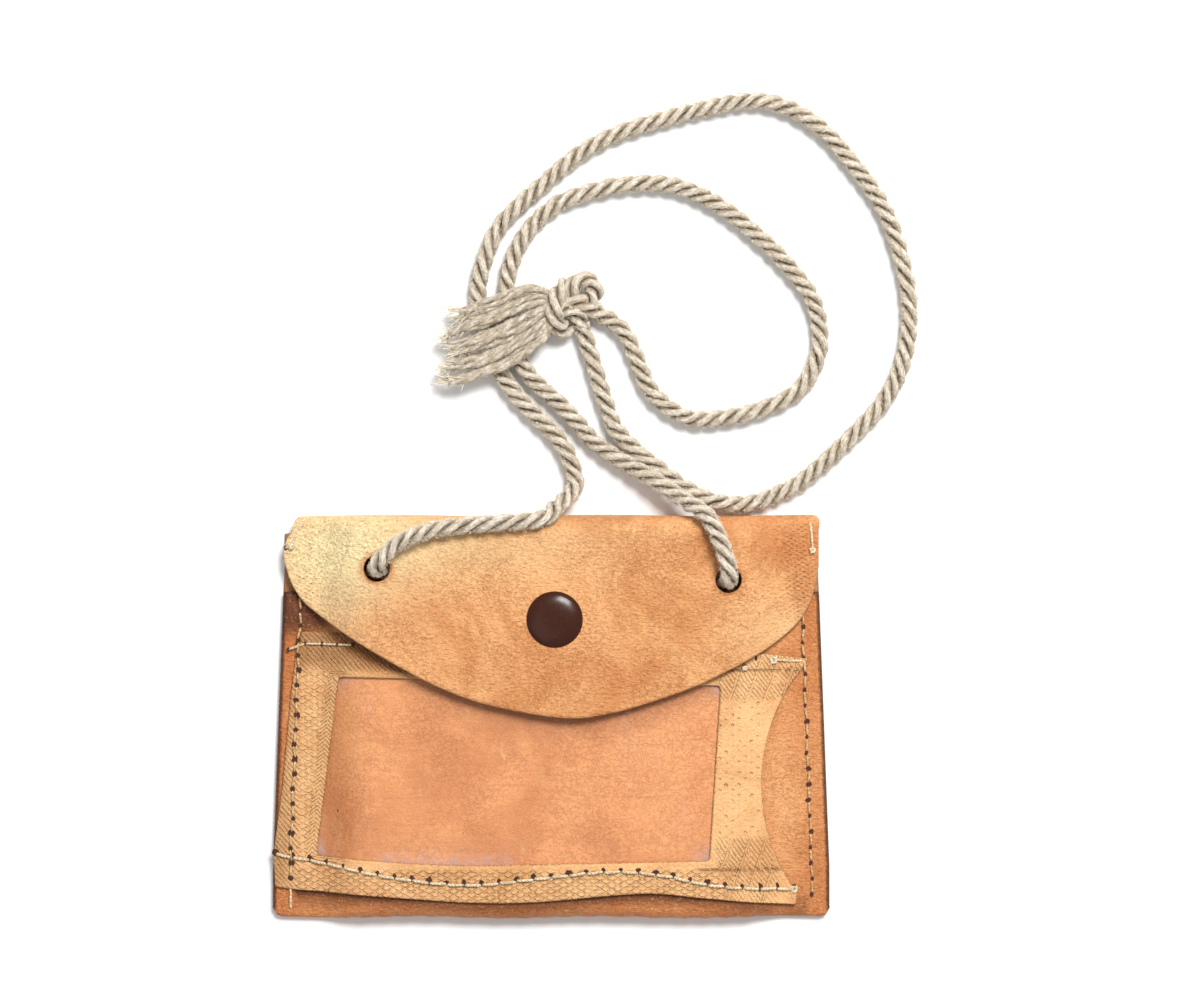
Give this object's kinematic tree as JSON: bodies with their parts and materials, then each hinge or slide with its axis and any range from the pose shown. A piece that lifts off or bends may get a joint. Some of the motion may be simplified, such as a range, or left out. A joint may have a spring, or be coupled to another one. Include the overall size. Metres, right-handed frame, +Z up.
{
  "type": "neck pouch wallet",
  "caption": "Folded leather neck pouch with a curved snap flap, an embossed window panel for a card, and a twisted cotton neck cord ending in a knot and tassel.",
  "frame": {"origin": "centre of the pouch's bounding box at its underside, leaving out the neck cord", "axes": "the pouch lies on its back: +X to the right across its width, +Y towards the top fold and the cord, +Z up out of its front"},
  "size_m": [0.172, 0.2195, 0.0166],
  "materials": {
    "hide": "waxed vegetable-tanned leather",
    "embossed_hide": "pale leather, embossed",
    "film": "clear flexible film",
    "antique_brass": "dark antique, glossy",
    "spring_steel": "bright wire",
    "cord": "twisted cotton, fuzzy",
    "thread": "waxed off-white thread"
  },
  "bodies": {
    "pouch": {"back_panel": "hide", "bottom_fold": "hide", "front_panel": "hide", "top_fold": "hide", "window_panel": "embossed_hide", "window_film": "film", "snap_stud": "antique_brass", "snap_post": "antique_brass", "cord_left": "cord", "cord_right": "cord", "cord_knot": "cord", "cord_tassel": "cord", "left_seam_thread": "thread", "right_seam_thread": "thread", "window_bottom_thread": "thread", "window_top_thread": "thread", "left_tack_thread": "thread", "right_tack_thread": "thread"},
    "flap": {"flap": "hide", "snap_cap": "antique_brass", "snap_socket": "antique_brass", "snap_socket_spring": "spring_steel", "cord_crossing": "cord"}
  },
  "joints": [
    {"name": "flap_fold", "type": "hinge", "parent": "pouch", "child": "flap", "pos_m": [0, 0.044, 0.0104], "axis": [-1, 0, 0], "range_deg": [0, 140], "deforming": ["cord_left", "cord_right"]}
  ]
}
